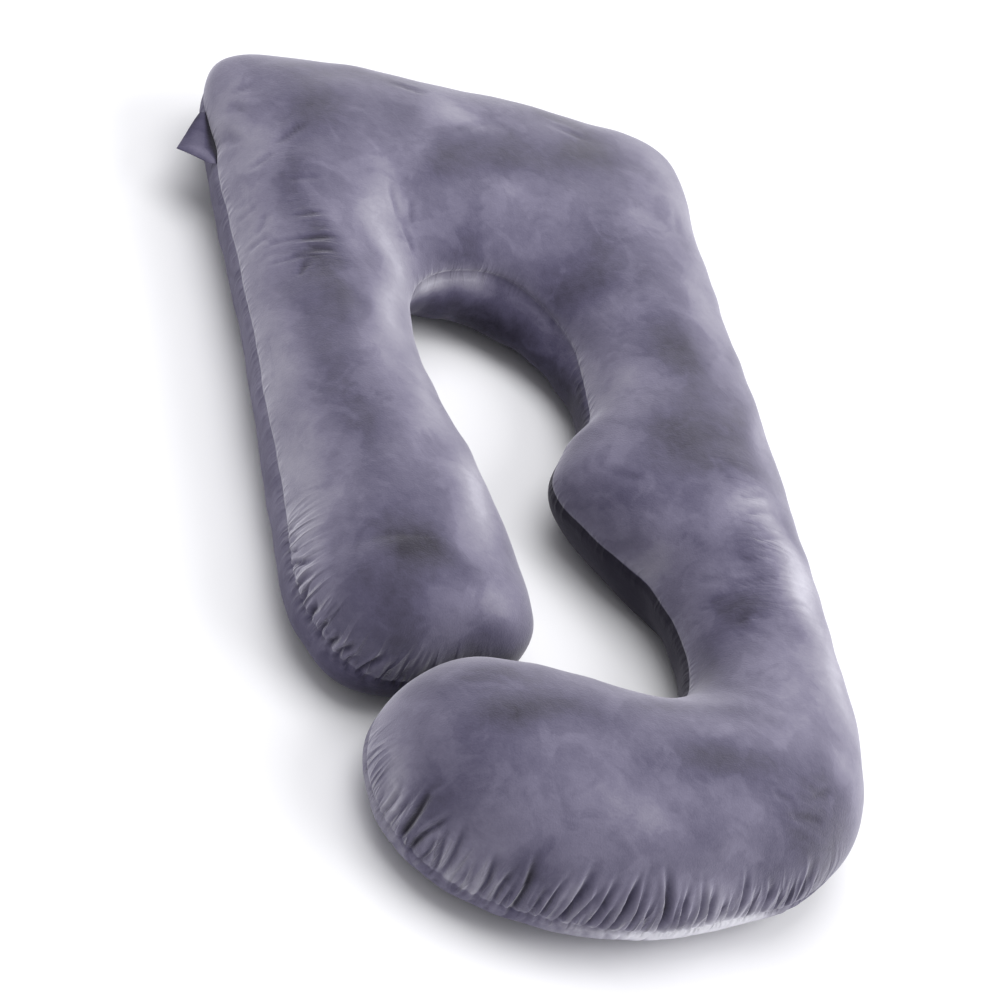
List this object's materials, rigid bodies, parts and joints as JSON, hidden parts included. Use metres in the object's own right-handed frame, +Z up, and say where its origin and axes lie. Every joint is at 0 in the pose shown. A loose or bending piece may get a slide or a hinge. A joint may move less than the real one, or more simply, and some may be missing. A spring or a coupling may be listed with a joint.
{
  "type": "pregnancy pillow",
  "caption": "Long stuffed pillow of crushed velvet, bent round an open belly hollow, with a straight arm, a hooked arm and gathered ends.",
  "frame": {"origin": "middle of the footprint, on the surface that the pillow lies on", "axes": "+X from the straight arm towards the hooked arm, +Y towards the head end, +Z up through the pillow's thickness"},
  "size_m": [0.717, 1.278, 0.1841],
  "materials": {
    "cover": "short crushed velvet pile, grey violet, clouded where the nap lies both ways",
    "tab": "the same velvet folded double, darker on its turned side"
  },
  "bodies": {
    "root": {"pillow": "cover", "corner_tab": "tab"}
  },
  "joints": []
}
